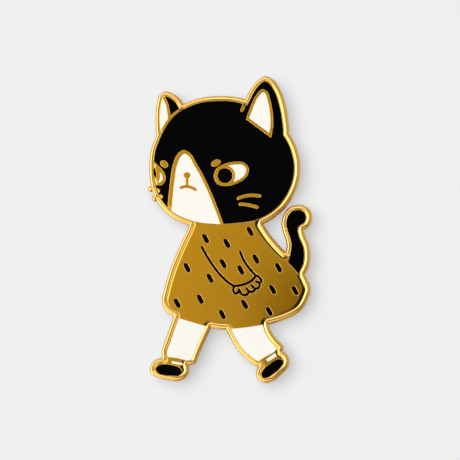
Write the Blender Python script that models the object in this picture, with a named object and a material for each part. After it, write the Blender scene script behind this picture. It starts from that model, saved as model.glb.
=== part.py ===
"""A hard enamel pin: a walking cat in a seeded dress, on two posts with butterfly clutches.

The figure stands along +Z and faces -Y. The plate's back face is the plane y = 0, and the origin lies on it,
midway between the two posts. Every size below is in millimetres, and MM turns it into Blender's metres.
"""

import math

import bmesh
import bpy
from mathutils import Matrix, Vector
from mathutils.geometry import delaunay_2d_cdt, intersect_point_line

MM = 0.001
CORNER = "corner"

# ---- Driving sizes of the plate ----
PIN_HEIGHT = 45.0  # ear tip to shoe sole
DRAWN_HEIGHT = 45.0  # the height that the outlines further down are drawn at
PLATE_THICK = 1.6
RIM = 0.82  # polished metal round the outside of the cells
LINE = 0.42  # raised metal line between two cells
MUZZLE_LINE = 0.54  # the bolder line round the muzzle
MUZZLE_SHIFT = (0.09, 0.0)  # how far the muzzle's white sits off the middle of that line
WHISKER_WIDTH = 0.47
CREASE_WIDTH = 0.46
ARM_WIDTH = 0.37  # the struck line of the sleeves and the paws
TRIM_OFFSET = (0.15, -0.05)  # how far the trimmed edge sits off the struck artwork, in x and z
HEM_LINE = 0.11  # how far inside the dress's hem the legs' enamel starts
CELL_DEEP = 0.50
FIT = 0.02  # clearance all round an enamel filling, and under it
FLUSH = 0.01  # how far the ground enamel lies under the metal

# ---- Driving sizes of the posts ----
POST_SPACING = 0.42 * PIN_HEIGHT
POST_LENGTH = 8.0  # from the back face to the point
NEEDLE_RADIUS = 0.55
GROOVE_DEEP = 0.12
GROOVE_WIDTH = 0.5
GROOVE_PITCH = 1.3
POINT_LENGTH = 1.1
POINT_RADIUS = 0.06  # how blunt the point is
FLANGE_RADIUS = 2.5
FLANGE_THICK = 0.4
FLANGE_CHAMFER = 0.15
SEAT_DEEP = 0.15  # the flange is set this far into the back face

# ---- Driving sizes of the clutches ----
GARMENT_GAP = 2.6  # from the back face to the clutch when it is pushed home
CLUTCH_RADIUS = 5.65
SHEET = 0.35  # brass sheet of the disc and the shell
TIP_CLEARANCE = 0.15  # from the post's point to the shell's ceiling
CLUTCH_HEIGHT = POST_LENGTH - GARMENT_GAP + TIP_CLEARANCE + SHEET
RUNNING = 0.06  # clearance that lets the shell turn in the disc's rolled rim
LIP_REACH = 0.85  # how far the rolled rim reaches in
HOLE_CLEARANCE = 0.2  # round the needle, in the disc
ROLL_CHAMFER = 0.18  # on the rolled rim's edges
SHELL_RADIUS = CLUTCH_RADIUS - 1.15
SHELL_WALL_HEIGHT = 3.0  # where the dome starts
NUB_COUNT = 6  # small points that bite the cloth
NUB_CIRCLE = 0.6 * CLUTCH_RADIUS
NUB_HEIGHT = 0.3
NUB_RADIUS = 0.35
NUB_TIP_RADIUS = 0.08
SPRING = 0.4  # thickness of the wings' spring sheet
JAW_HEIGHT = 2.4  # middle of the spring sheet above the disc's cloth side
JAW_CLEARANCE = 0.06
WING_HALF_WIDTH = SHELL_RADIUS / 1.8
JAW_HALF_WIDTH = 0.68 * WING_HALF_WIDTH
NOTCH_LENGTH = 4 * SPRING  # of the cutter that makes the jaw's round notch
JAW_REACH = 0.55 * SHELL_RADIUS  # where the narrow jaw starts to widen into the wing
WING_ROOT = 0.75 * SHELL_RADIUS  # where the wing has its full width
WING_BEND_START = SHELL_RADIUS + 0.2
WING_BEND = 1.3  # length of the bend outside the shell
WING_BEND_RISE = 0.6  # share of the bend's length that it climbs
WING_SPAN = SHELL_RADIUS + 2.7  # from the post's axis to the wing's tip
WING_TIP_HEIGHT = CLUTCH_HEIGHT + 0.1
WING_TIP_TAPER = ((0.45, 1.0), (0.72, 0.94), (0.88, 0.78), (0.97, 0.56), (1.0, 0.40))  # way along, width left
SLOT_CLEARANCE = 0.2  # beside the wing, in the shell's slot
SLOT_HALF_HEIGHT = 0.65
SLOT_OVERRUN = 1.0  # how far the slot's cutter reaches past the disc

# ---- How finely curves are drawn ----
SAGITTA = 0.010  # the most that a facet may stand off its curve
TURNED_STEPS = 32
NEEDLE_STEPS = 16
DOME_STEPS = 6
BEND_STEPS = 5
NUB_STEPS = 12
SMALLEST_MITRE = 0.35
ROUND_JOIN = 25.0  # degrees of turn past which a corner that opens out is joined by an arc
SMOOTH_ANGLE = 35.0
NEARLY_ZERO = 1e-5

SCALE = PIN_HEIGHT / DRAWN_HEIGHT

# ---- Artwork: points that each outline passes through, anticlockwise or clockwise, as x and z ----
HEAD = [
    (-2.05, 19.55), (-5.20, 19.15), (-7.10, 18.40), (-8.95, 17.15), (-10.20, 15.60), (-11.30, 13.55),
    (-12.00, 11.65), (-12.25, 9.00), (-12.00, 6.40), (-11.00, 3.90), (-9.10, 1.85), (-6.40, 0.60),
    (-3.20, -0.03), (0.75, 0.08), (4.45, 0.80), (7.10, 2.55), (8.80, 4.85), (9.70, 7.25),
    (9.85, 9.75), (9.15, 12.45), (6.90, 15.75), (4.25, 17.95), (1.60, 19.15),
]
LEFT_EAR = [
    (-6.55, 16.60, CORNER), (-7.00, 17.90), (-7.60, 19.00), (-8.65, 19.85), (-9.90, 20.20),
    (-10.75, 19.70), (-11.15, 18.45), (-11.35, 16.35), (-11.25, 14.15), (-10.85, 11.60, CORNER),
]
RIGHT_EAR = [
    (1.45, 15.75, CORNER), (1.25, 17.80), (1.85, 19.15), (2.55, 20.50), (3.65, 21.85), (4.75, 22.45),
    (5.85, 22.00), (6.90, 20.60), (7.65, 18.55), (8.10, 16.20), (8.30, 13.70), (8.20, 12.40),
    (7.50, 11.35, CORNER),
]
DRESS = [
    (-5.85, 2.15, CORNER), (-6.40, 0.60), (-7.70, -2.15), (-9.10, -5.55), (-10.10, -8.85),
    (-10.40, -10.65), (-9.90, -11.90), (-8.65, -12.75), (-6.30, -13.58), (-3.95, -14.26),
    (-1.90, -14.66), (0.60, -14.62), (3.10, -14.32), (5.40, -13.88), (7.90, -13.10), (9.90, -11.95),
    (11.00, -10.20), (11.40, -8.60), (10.95, -7.35), (10.25, -5.95), (8.80, -4.30), (7.20, -2.80),
    (5.70, -1.10), (4.45, 0.75), (3.65, 2.15, CORNER),
]
TAIL = [
    (9.45, 3.60), (8.30, 3.25), (7.45, 2.25), (7.10, 0.80), (7.45, -0.75), (7.85, -2.05),
    (7.75, -3.30), (7.20, -5.05, CORNER), (9.55, -8.60, CORNER), (10.50, -6.75), (11.15, -5.35),
    (11.35, -3.80), (11.15, -2.20), (10.60, -0.90), (10.40, -0.10, CORNER), (11.00, 0.25),
    (11.50, 1.10), (11.60, 2.00), (11.15, 3.00), (10.40, 3.50),
]
FRONT_LEG = [
    (-8.20, -11.50, CORNER), (-9.10, -13.85), (-9.80, -15.90), (-10.45, -17.95), (-10.30, -19.05),
    (-8.35, -19.55), (-6.25, -19.90), (-5.45, -19.60), (-5.00, -18.55), (-4.10, -16.45),
    (-3.15, -14.45), (-2.50, -12.95, CORNER),
]
BACK_LEG = [
    (-1.60, -13.25, CORNER), (-0.85, -14.95), (-0.15, -16.35), (0.80, -17.80), (2.05, -19.05),
    (3.75, -20.05), (5.30, -19.30), (7.10, -18.10), (7.45, -17.35), (6.50, -16.15), (5.65, -14.95),
    (5.30, -13.85), (5.15, -12.70, CORNER),
]
FRONT_SHOE = [
    (-10.40, -18.80), (-11.45, -19.15), (-12.10, -20.00), (-12.10, -20.90), (-11.20, -21.60),
    (-9.55, -22.05), (-7.90, -22.20), (-6.90, -21.75), (-6.40, -20.80), (-6.55, -19.80),
    (-8.05, -19.05),
]
BACK_SHOE = [
    (3.80, -19.95), (3.35, -21.05), (3.70, -22.00), (4.70, -22.50), (5.85, -22.25), (7.05, -21.30),
    (8.00, -20.30), (8.30, -19.30), (7.95, -18.35), (7.10, -17.70), (5.15, -18.40),
]
MUZZLE = [
    (-9.80, 0.80, CORNER), (-9.55, 3.45), (-9.40, 5.05), (-9.15, 7.25), (-8.65, 9.90), (-8.00, 11.15),
    (-7.25, 11.60), (-6.45, 11.30), (-5.30, 9.60), (-3.65, 6.50), (-2.20, 3.00), (-1.15, 0.20, CORNER),
]
EAR_INNER = [
    (4.30, 20.50), (3.50, 19.80), (2.55, 17.95), (1.90, 16.10, CORNER), (5.55, 13.40, CORNER),
    (5.85, 15.05), (5.80, 16.95), (5.40, 19.05), (4.90, 20.25),
]
RIGHT_EYE = [
    (-2.80, 7.85), (-2.45, 8.85), (-1.30, 9.55), (0.45, 9.90), (1.55, 9.80), (2.30, 8.95),
    (1.90, 7.60), (0.60, 6.75), (-0.90, 6.35), (-2.25, 6.65),
]
LEFT_EYE = [
    (-12.60, 10.20, CORNER), (-11.80, 10.05, CORNER), (-10.85, 9.30), (-10.00, 8.20), (-9.85, 7.25),
    (-10.35, 6.50), (-11.30, 6.50), (-12.60, 6.40, CORNER),
]
LEFT_PUPIL = [
    (-11.55, 9.05), (-11.62, 8.50), (-11.47, 7.75), (-11.30, 7.60), (-11.20, 8.05), (-11.33, 8.70),
]
LEFT_EYE_WHITE = [
    (-10.65, 8.30), (-10.40, 7.85), (-10.30, 7.40), (-10.55, 7.00), (-11.05, 6.95, CORNER),
    (-10.70, 7.35), (-10.62, 7.75),
]
FRONT_SHOE_TOE = [
    (-11.30, -20.40), (-10.90, -19.90), (-10.05, -19.70), (-8.80, -19.85), (-7.75, -20.25),
    (-7.45, -20.75), (-7.85, -21.30), (-8.85, -21.35), (-10.05, -21.25), (-10.90, -21.00),
]
BACK_SHOE_TOE = [
    (4.15, -21.30), (4.35, -21.65), (5.05, -21.60), (5.85, -21.10), (6.90, -20.20), (7.35, -19.40),
    (7.05, -18.95), (6.30, -19.05), (5.35, -19.70), (4.45, -20.50),
]
FRONT_STRAP = [
    (-8.90, -19.25, CORNER), (-7.45, -19.50, CORNER), (-7.52, -19.80, CORNER), (-8.95, -19.55, CORNER),
]
BACK_STRAP = [
    (4.85, -18.95, CORNER), (6.15, -18.05, CORNER), (6.35, -18.50, CORNER), (5.10, -19.30, CORNER),
]
# The line that parts the left ear's two colours, and the side of it that is white
EAR_DIVIDER = [(-10.50, 19.80), (-9.75, 18.55), (-9.45, 17.35), (-9.30, 15.90)]
EAR_WHITE_SIDE = [(-9.30, 13.00, CORNER), (-13.00, 13.00, CORNER), (-13.00, 20.50, CORNER)]

EAR_CREASE = [(2.05, 19.20), (1.30, 17.40)]
RIGHT_WHISKERS = [
    [(0.80, 4.55), (1.60, 4.85), (2.65, 5.00), (3.90, 4.90)],
    [(1.05, 3.70), (2.20, 3.60), (3.50, 3.25)],
]
LEFT_WHISKERS = [
    [(-12.00, 5.90), (-10.95, 5.65)],
    [(-11.40, 4.55), (-10.55, 4.80)],
]
LEFT_WHISKER_WIDTH = 0.62
WHISKER_TIPS = [((-12.05, 5.90), 0.42), ((-11.40, 4.57), 0.48)]  # knobs on the outside of the rim
NOSE = ((-6.72, 7.93), 0.53, 0.46)  # centre and half widths
NOSE_STEM = [(-6.70, 7.70), (-6.70, 6.25)]
MOUTH = [(-7.60, 6.10), (-7.20, 6.25), (-6.65, 6.30), (-6.15, 6.15), (-5.50, 5.85)]
MOUTH_WIDTH = 0.47
PUPIL_CENTRE = (-1.17, 7.87)
PUPIL_RADIUS = 1.09
RIGHT_BROW = ((-2.50, 9.70), 0.74, 0.48, 25.0)  # centre, half widths, tilt in degrees
LEFT_BROW = ((-10.05, 9.55), 0.66, 0.48, -42.0)
ARM_LINES = [
    [(-4.53, -2.60), (-3.90, -3.74), (-2.86, -5.34), (-1.60, -6.88), (-0.58, -7.80), (0.17, -8.27)],
    [(0.17, -8.27), (1.15, -8.13), (2.20, -7.78), (2.98, -7.25), (3.32, -6.66)],
    [(1.05, -3.25), (1.54, -4.42), (2.34, -5.60), (3.32, -6.66)],
    [(0.17, -8.27), (0.05, -8.90), (0.40, -9.35), (0.75, -9.15), (0.90, -8.75)],
    [(0.90, -8.75), (1.20, -9.35), (1.70, -9.60), (2.10, -9.45), (2.30, -9.05)],
    [(2.30, -9.05), (2.70, -9.10), (3.10, -8.95), (3.20, -8.60)],
    [(3.20, -8.60), (3.60, -8.60), (3.85, -8.30), (3.85, -7.80)],
    [(3.85, -7.80), (4.15, -7.50), (3.95, -7.10), (3.32, -6.66)],
    [(2.30, -9.05), (1.99, -8.61)],
    [(3.20, -8.60), (2.72, -8.16)],
    [(3.85, -7.80), (3.38, -7.59)],
]
SEEDS = [
    (-4.00, -1.32), (-0.90, -2.02), (2.50, -0.27), (-6.70, -5.57), (-1.45, -4.97), (1.15, -5.92),
    (3.35, -4.32), (-3.35, -7.12), (6.65, -5.57), (5.80, -8.77), (9.05, -8.92), (-4.80, -10.17),
    (-8.15, -10.77), (1.70, -10.92), (-1.55, -12.42), (5.30, -11.97),
]
SEED_LENGTH = 1.47
SEED_WIDTH = 0.65
SEED_LEAN = 29.0  # degrees from upright, top to the left


# ---- Curves in the plane of the plate ----


def smooth_run(anchors, closed):
    """Points along a smooth curve through the anchors, which turns sharply only at those marked CORNER."""
    spots = [Vector(anchor[:2]) * SCALE for anchor in anchors]
    sharp = [len(anchor) > 2 for anchor in anchors]
    if not closed:
        sharp[0] = sharp[-1] = True
    count = len(spots)
    points = []
    for i in range(count if closed else count - 1):
        j = (i + 1) % count
        chord = spots[j] - spots[i]
        way = chord.normalized()
        start = way if sharp[i] else heading(spots[i - 1], spots[i], spots[j])
        end = way if sharp[j] else heading(spots[i], spots[j], spots[(j + 1) % count])
        if sharp[i] and not sharp[j]:
            start = (3 * way - end) / 2
        if sharp[j] and not sharp[i]:
            end = (3 * way - start) / 2
        turn = start.angle(way) + way.angle(end)
        steps = max(1, math.ceil(math.sqrt(chord.length * turn / (8 * SAGITTA))))
        points += [
            hermite(spots[i], start * chord.length, spots[j], end * chord.length, k / steps)
            for k in range(steps)
        ]
    if not closed:
        points.append(spots[-1])
    return points


def heading(before, here, after):
    """The direction of a smooth curve at its middle point of three."""
    back, ahead = (here - before).length, (after - here).length
    return ((here - before) / back * ahead + (after - here) / ahead * back) / (back + ahead)


def hermite(start, start_way, end, end_way, t):
    return (
        start * (2 * t**3 - 3 * t**2 + 1)
        + start_way * (t**3 - 2 * t**2 + t)
        + end * (3 * t**2 - 2 * t**3)
        + end_way * (t**3 - t**2)
    )


def anticlockwise(points):
    area = sum(a.cross(b) for a, b in zip(points, points[1:] + points[:1]))
    return points if area > 0 else points[::-1]


def outline(anchors):
    """A closed smooth outline through the anchors."""
    return anticlockwise(smooth_run(anchors, closed=True))


def arc_steps(radius, angle):
    """How many facets a round stretch takes to stay within the sagitta."""
    facet = 2 * math.acos(max(0.0, 1 - SAGITTA / radius))
    return max(2, math.ceil(angle / facet))


def circle(middle, radius):
    steps = arc_steps(radius, 2 * math.pi)
    angles = [2 * math.pi * k / steps for k in range(steps)]
    return [middle + Vector((math.cos(a), math.sin(a))) * radius for a in angles]


def ellipse(centre, half_long, half_short, tilt=0.0):
    """A drawn ellipse, whose long axis is tilted from level by this many degrees."""
    middle = Vector(centre) * SCALE
    turn = Matrix.Rotation(math.radians(tilt), 2)
    squash = Vector((1.0, half_short / half_long))
    return [middle + turn @ (spot * squash) for spot in circle(Vector((0, 0)), half_long * SCALE)]


def stroke(anchors, width):
    """The closed outline of a line of this width with round ends."""
    return band(smooth_run(anchors, closed=False), width / 2)


def band(path, half):
    """The outline that keeps this distance all round an open path."""
    sides = []
    for way_points in (path, path[::-1]):
        for i, here in enumerate(way_points):
            before = way_points[max(i - 1, 0)]
            after = way_points[min(i + 1, len(way_points) - 1)]
            way = (after - before).normalized()
            sides.append(here + Vector((way.y, -way.x)) * half)
        tip, way = way_points[-1], (way_points[-1] - way_points[-2]).normalized()
        side = Vector((way.y, -way.x)) * half
        steps = arc_steps(half, math.pi)
        for k in range(1, steps):
            angle = math.pi * k / steps
            sides.append(tip + side * math.cos(angle) + way * half * math.sin(angle))
    return anticlockwise(sides)


def seed_outline(centre):
    """A short leaning dash with round ends."""
    lean = math.radians(SEED_LEAN)
    half = Vector((math.sin(lean), -math.cos(lean))) * SCALE * (SEED_LENGTH - SEED_WIDTH) / 2
    middle = Vector(centre) * SCALE
    return band([middle - half, middle + half], SCALE * SEED_WIDTH / 2)


def distance_to(point, points):
    """How far a point is from a closed outline."""
    nearest = math.inf
    for a, b in zip(points, points[1:] + points[:1]):
        foot, share = intersect_point_line(point, a, b)
        on_edge = a if share < 0 else b if share > 1 else Vector(foot[:2])
        nearest = min(nearest, (point - on_edge).length)
    return nearest


def inset(points, amount):
    """An outline moved inwards by this much, or outwards where it is negative, with no crossed loops."""
    moved = []
    for before, here, after in zip(points[-1:] + points[:-1], points, points[1:] + points[:1]):
        way_in, way_out = (here - before).normalized(), (after - here).normalized()
        normal = Vector((-way_in.y, way_in.x))
        turn = math.atan2(way_in.cross(way_out), way_in.dot(way_out))
        if turn * amount < 0 and abs(turn) > math.radians(ROUND_JOIN):
            steps = arc_steps(abs(amount), abs(turn))
            moved += [here + Matrix.Rotation(turn * k / steps, 2) @ normal * amount for k in range(steps + 1)]
        else:
            mitre = (normal + Vector((-way_out.y, way_out.x))).normalized()
            moved.append(here + mitre * amount / max(SMALLEST_MITRE, mitre.dot(normal)))
    least = 0.99 * abs(amount)
    return [point for point in moved if distance_to(point, points) >= least]


def shifted(points, by):
    return [point + Vector(by) for point in points]


def on_artwork(points):
    """An outline taken from the trimmed edge, moved to where the struck artwork lies."""
    return shifted(points, -Vector(TRIM_OFFSET))


# ---- Solids made of flat steps ----


def inside_any(names, found):
    return any(name in found for name in names)


def relief(outlines, levels_at):
    """A closed mesh of flat steps, from outlines by name. levels_at takes the set of outlines that hold a
    spot and gives the y of the front and back there, or None where the solid is absent."""
    names = list(outlines)
    points = [point for name in names for point in outlines[name]]
    faces, first = [], 0
    for name in names:
        faces.append(list(range(first, first + len(outlines[name]))))
        first += len(outlines[name])
    flat, _, triangles, _, _, holders = delaunay_2d_cdt(points, [], faces, 1, NEARLY_ZERO, True)
    levels = [levels_at({names[i] for i in holder}) for holder in holders]
    sides = {}
    for triangle, level in zip(triangles, levels):
        for a, b in zip(triangle, triangle[1:] + triangle[:1]):
            sides[a, b] = level
    mesh = bmesh.new()
    made = {}

    def corner(index, y):
        if (index, y) not in made:
            x, z = flat[index]
            made[index, y] = mesh.verts.new(Vector((x, y, z)) * MM)
        return made[index, y]

    def wall(a, b, front, back):
        mesh.faces.new([corner(a, front), corner(a, back), corner(b, back), corner(b, front)])

    for triangle, level in zip(triangles, levels):
        if level is None:
            continue
        front, back = level
        mesh.faces.new([corner(index, front) for index in triangle])
        mesh.faces.new([corner(index, back) for index in reversed(triangle)])
        for a, b in zip(triangle, triangle[1:] + triangle[:1]):
            beside = sides.get((b, a))
            if beside is None:
                wall(a, b, front, back)
                continue
            if front < beside[0]:
                wall(a, b, front, beside[0])
            if back > beside[1]:
                wall(a, b, beside[1], back)
    return mesh


# ---- The artwork's cells ----


def left_of_divider():
    side = [anchor[:2] for anchor in EAR_DIVIDER]
    return outline([(*anchor, CORNER) for anchor in side] + EAR_WHITE_SIDE)


def artwork():
    """Every outline on the front, by name. The names in capitals are edges of the plate itself."""
    edges = {
        "HEAD": outline(HEAD),
        "LEFT_EAR": outline(LEFT_EAR),
        "RIGHT_EAR": outline(RIGHT_EAR),
        "DRESS": outline(DRESS),
        "TAIL": outline(TAIL),
        "FRONT_LEG": outline(FRONT_LEG),
        "BACK_LEG": outline(BACK_LEG),
        "FRONT_SHOE": outline(FRONT_SHOE),
        "BACK_SHOE": outline(BACK_SHOE),
    }
    for number, (centre, radius) in enumerate(WHISKER_TIPS):
        edges[f"WHISKER_TIP_{number}"] = circle(Vector(centre) * SCALE, radius * SCALE)
    head = on_artwork(inset(edges["HEAD"], RIM))
    ear_inner = outline(EAR_INNER)
    eye = outline(RIGHT_EYE)
    pupil_radius = PUPIL_RADIUS * SCALE
    pupil_centre = Vector(PUPIL_CENTRE) * SCALE
    muzzle = outline(MUZZLE)
    shapes = {
        "head": head,
        "head_with_line": inset(head, -LINE),
        "right_ear": on_artwork(inset(edges["RIGHT_EAR"], RIM)),
        "left_ear": on_artwork(inset(edges["LEFT_EAR"], RIM)),
        "left_ear_divider": stroke(EAR_DIVIDER, LINE),
        "left_ear_white_side": left_of_divider(),
        "tail": on_artwork(inset(edges["TAIL"], RIM)),
        "dress_hem": on_artwork(inset(edges["DRESS"], HEM_LINE)),
        "dress_field": on_artwork(inset(edges["DRESS"], RIM)),
        "front_leg": inset(edges["FRONT_LEG"], RIM),
        "back_leg": on_artwork(inset(edges["BACK_LEG"], RIM)),
        "muzzle_with_line": muzzle,
        "muzzle": shifted(inset(muzzle, MUZZLE_LINE), MUZZLE_SHIFT),
        "ear_inner_with_line": ear_inner,
        "ear_inner": inset(ear_inner, LINE),
        "right_eye_with_line": eye,
        "right_eye": inset(eye, LINE),
        "right_pupil": circle(pupil_centre, pupil_radius),
        "right_pupil_with_line": circle(pupil_centre, pupil_radius + LINE),
        "left_eye_with_line": outline(LEFT_EYE),
        "left_pupil": outline(LEFT_PUPIL),
        "left_eye_white": outline(LEFT_EYE_WHITE),
        "right_brow": ellipse(*RIGHT_BROW),
        "left_brow": ellipse(*LEFT_BROW),
        "ear_crease": stroke(EAR_CREASE, CREASE_WIDTH),
        "nose": ellipse(*NOSE),
        "nose_stem": stroke(NOSE_STEM, MOUTH_WIDTH),
        "mouth": stroke(MOUTH, MOUTH_WIDTH),
        "front_toe": outline(FRONT_SHOE_TOE),
        "back_toe": outline(BACK_SHOE_TOE),
        "front_strap": outline(FRONT_STRAP),
        "back_strap": outline(BACK_STRAP),
    }
    for number, line in enumerate(RIGHT_WHISKERS):
        shapes[f"right_whisker_{number}"] = stroke(line, WHISKER_WIDTH)
    for number, line in enumerate(LEFT_WHISKERS):
        shapes[f"left_whisker_{number}"] = stroke(line, LEFT_WHISKER_WIDTH)
    for number, line in enumerate(ARM_LINES):
        shapes[f"arm_{number}"] = stroke(line, ARM_WIDTH)
    for number, centre in enumerate(SEEDS, 1):
        shapes[f"seed_{number:02d}"] = seed_outline(centre)
    return edges, shapes


def cells(shapes):
    """Each cell's name with the outlines it fills, those it must also lie in, and those it leaves out."""
    whiskers = [name for name in shapes if "whisker" in name]
    face_metal = ["right_brow", "left_brow", "ear_crease"] + whiskers
    islands = ["muzzle_with_line", "ear_inner_with_line", "right_eye_with_line", "left_eye_with_line"]
    ear_edges = ["head_with_line", "left_ear_divider"]
    made = {
        "head_black": (["head", "right_ear"], [], islands + face_metal),
        "left_ear_black": (["left_ear"], [], ear_edges + ["left_ear_white_side"]),
        "left_ear_white": (["left_ear"], ["left_ear_white_side"], ear_edges),
        "right_ear_white": (["ear_inner"], [], []),
        "muzzle_white": (["muzzle"], ["head"], ["nose", "nose_stem", "mouth"]),
        "right_pupil": (["right_pupil"], ["right_eye"], []),
        "right_eye_white": (["right_eye"], [], ["right_pupil_with_line"]),
        "left_pupil": (["left_pupil"], [], []),
        "left_eye_white": (["left_eye_white"], [], []),
        "tail_black": (["tail"], [], ["dress_field"]),
        "front_leg_white": (["front_leg"], [], ["dress_hem"]),
        "back_leg_white": (["back_leg"], [], ["dress_hem"]),
        "front_shoe_black": (["front_toe"], [], []),
        "back_shoe_black": (["back_toe"], [], []),
        "front_strap_white": (["front_strap"], [], []),
        "back_strap_white": (["back_strap"], [], []),
        "arm_line": ([name for name in shapes if name.startswith("arm_")], [], []),
    }
    for name in shapes:
        if name.startswith("seed_"):
            made[name] = ([name], [], [])
    return made


def in_cell(cell, found):
    fills, within, leaves_out = cell
    return inside_any(fills, found) and set(within) <= found and not inside_any(leaves_out, found)


# ---- Objects and materials ----


def clear_scene():
    for obj in list(bpy.data.objects):
        bpy.data.objects.remove(obj, do_unlink=True)


def finish(name, colour, roughness, metallic):
    """A plain Principled material."""
    material = bpy.data.materials.new(name)
    material.use_nodes = True
    shader = material.node_tree.nodes["Principled BSDF"]
    shader.inputs["Base Color"].default_value = (*colour, 1.0)
    shader.inputs["Roughness"].default_value = roughness
    shader.inputs["Metallic"].default_value = metallic
    return material


def add_object(name, mesh, material, place=(0, 0, 0), parent=None):
    """A named object from a bmesh whose origin is at place, in millimetres."""
    data = bpy.data.meshes.new(name)
    mesh.normal_update()
    mesh.to_mesh(data)
    mesh.free()
    data.shade_smooth()
    data.set_sharp_from_angle(angle=math.radians(SMOOTH_ANGLE))
    data.materials.append(material)
    obj = bpy.data.objects.new(name, data)
    bpy.context.scene.collection.objects.link(obj)
    obj.parent = parent
    obj.location = Vector(place) * MM
    return obj


def add_empty(name, place, parent=None):
    empty = bpy.data.objects.new(name, None)
    empty.empty_display_size = MM
    bpy.context.scene.collection.objects.link(empty)
    empty.parent = parent
    empty.location = Vector(place) * MM
    return empty


def apply_boolean(obj, tool, operation):
    """A Boolean that stays on the object, with its tool kept out of the render."""
    tool.hide_render = True
    tool.display_type = "WIRE"
    modifier = obj.modifiers.new(tool.name, "BOOLEAN")
    modifier.operation = operation
    modifier.solver = "EXACT"
    modifier.object = tool


def turned(profile, steps):
    """A closed ring or solid turned about the Y axis, from a closed profile of radius and y."""
    mesh = bmesh.new()
    corners = [mesh.verts.new(Vector((radius, y, 0)) * MM) for radius, y in profile]
    edges = [
        mesh.edges.new((a, b))
        for a, b in zip(corners, corners[1:] + corners[:1])
        if max(a.co.x, b.co.x) > 0
    ]
    bmesh.ops.spin(
        mesh, geom=corners + edges, cent=(0, 0, 0), axis=(0, 1, 0), angle=2 * math.pi, steps=steps
    )
    bmesh.ops.remove_doubles(mesh, verts=mesh.verts, dist=NEARLY_ZERO * MM)
    bmesh.ops.recalc_face_normals(mesh, faces=mesh.faces)
    return mesh


def add_cone(mesh, centre, radius, tip_radius, length, steps):
    """A cone or cylinder round a line along Y, with its tip towards -Y."""
    made = bmesh.ops.create_cone(
        mesh, cap_ends=True, segments=steps, radius1=radius * MM, radius2=tip_radius * MM, depth=length * MM
    )
    for vert in made["verts"]:
        x, y, z = vert.co
        vert.co = Vector(centre) * MM + Vector((x, -z, y))


def box(low, high):
    """A closed box between two corners, in millimetres."""
    mesh = bmesh.new()
    bmesh.ops.create_cube(mesh, size=1)
    low, high = Vector(low), Vector(high)
    for vert in mesh.verts:
        vert.co = Vector([(a + b) / 2 + c * (b - a) for a, b, c in zip(low, high, vert.co)]) * MM
    return mesh


# ---- The plate and its enamel ----


def post_places():
    """Each post's name with its place along Z."""
    return {"upper": POST_SPACING / 2, "lower": -POST_SPACING / 2}


def add_base_plate(edges, shapes, metal):
    """The die-struck plate, with a cell for each enamel and a shallow seat for each post's flange."""
    table = cells(shapes)
    seats = {
        f"{name}_seat": circle(Vector((0, z)), FLANGE_RADIUS + FIT) for name, z in post_places().items()
    }

    def levels_at(found):
        if not inside_any(edges, found):
            return None
        front = -PLATE_THICK
        if any(in_cell(cell, found) for cell in table.values()):
            front += CELL_DEEP
        back = -SEAT_DEEP if inside_any(seats, found) else 0.0
        return front, back

    return add_object("base_plate", relief({**edges, **shapes, **seats}, levels_at), metal)


def add_enamel(name, cell, shapes, material):
    """One cell's filling, which keeps the fit clearance to the metal all round."""
    fills, within, leaves_out = cell
    used = {part: inset(shapes[part], FIT) for part in fills + within}
    used.update({part: inset(shapes[part], -FIT) for part in leaves_out})
    front = -PLATE_THICK + FLUSH
    back = -PLATE_THICK + CELL_DEEP - FIT

    def levels_at(found):
        return (front, back) if in_cell(cell, found) else None

    return add_object(name, relief(used, levels_at), material)


def add_front(metal, black, white):
    edges, shapes = artwork()
    add_base_plate(edges, shapes, metal)
    for name, cell in cells(shapes).items():
        add_enamel(name, cell, shapes, white if name.endswith("white") else black)


# ---- Posts and clutches ----


def needle_profile():
    """Half the section of a post: its flange, the grooved needle and the point."""
    base = -SEAT_DEEP + FIT
    profile = [
        (0, base), (FLANGE_RADIUS, base), (FLANGE_RADIUS, FLANGE_THICK - FLANGE_CHAMFER),
        (FLANGE_RADIUS - FLANGE_CHAMFER, FLANGE_THICK), (NEEDLE_RADIUS + FLANGE_CHAMFER, FLANGE_THICK),
        (NEEDLE_RADIUS, FLANGE_THICK + FLANGE_CHAMFER),
    ]
    straight_end = POST_LENGTH - POINT_LENGTH
    middle = GARMENT_GAP + JAW_HEIGHT
    while middle + GROOVE_WIDTH / 2 + GROOVE_DEEP < straight_end:
        low, high = middle - GROOVE_WIDTH / 2, middle + GROOVE_WIDTH / 2
        profile += [
            (NEEDLE_RADIUS, low - GROOVE_DEEP), (NEEDLE_RADIUS - GROOVE_DEEP, low),
            (NEEDLE_RADIUS - GROOVE_DEEP, high), (NEEDLE_RADIUS, high + GROOVE_DEEP),
        ]
        middle += GROOVE_PITCH
    profile += [(NEEDLE_RADIUS, straight_end), (POINT_RADIUS, POST_LENGTH - POINT_RADIUS), (0, POST_LENGTH)]
    return profile


def disc_profile():
    """Half the section of the clutch's disc, whose rim is rolled over the shell's foot."""
    hole = NEEDLE_RADIUS + HOLE_CLEARANCE
    top = 3 * SHEET + 2 * RUNNING
    lip = CLUTCH_RADIUS - LIP_REACH
    inside = CLUTCH_RADIUS - SHEET
    return [
        (hole, 0), (CLUTCH_RADIUS - ROLL_CHAMFER, 0), (CLUTCH_RADIUS, ROLL_CHAMFER),
        (CLUTCH_RADIUS, top - ROLL_CHAMFER), (CLUTCH_RADIUS - ROLL_CHAMFER, top), (lip, top),
        (lip, top - SHEET), (inside, top - SHEET), (inside, SHEET), (hole, SHEET),
    ]


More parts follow.
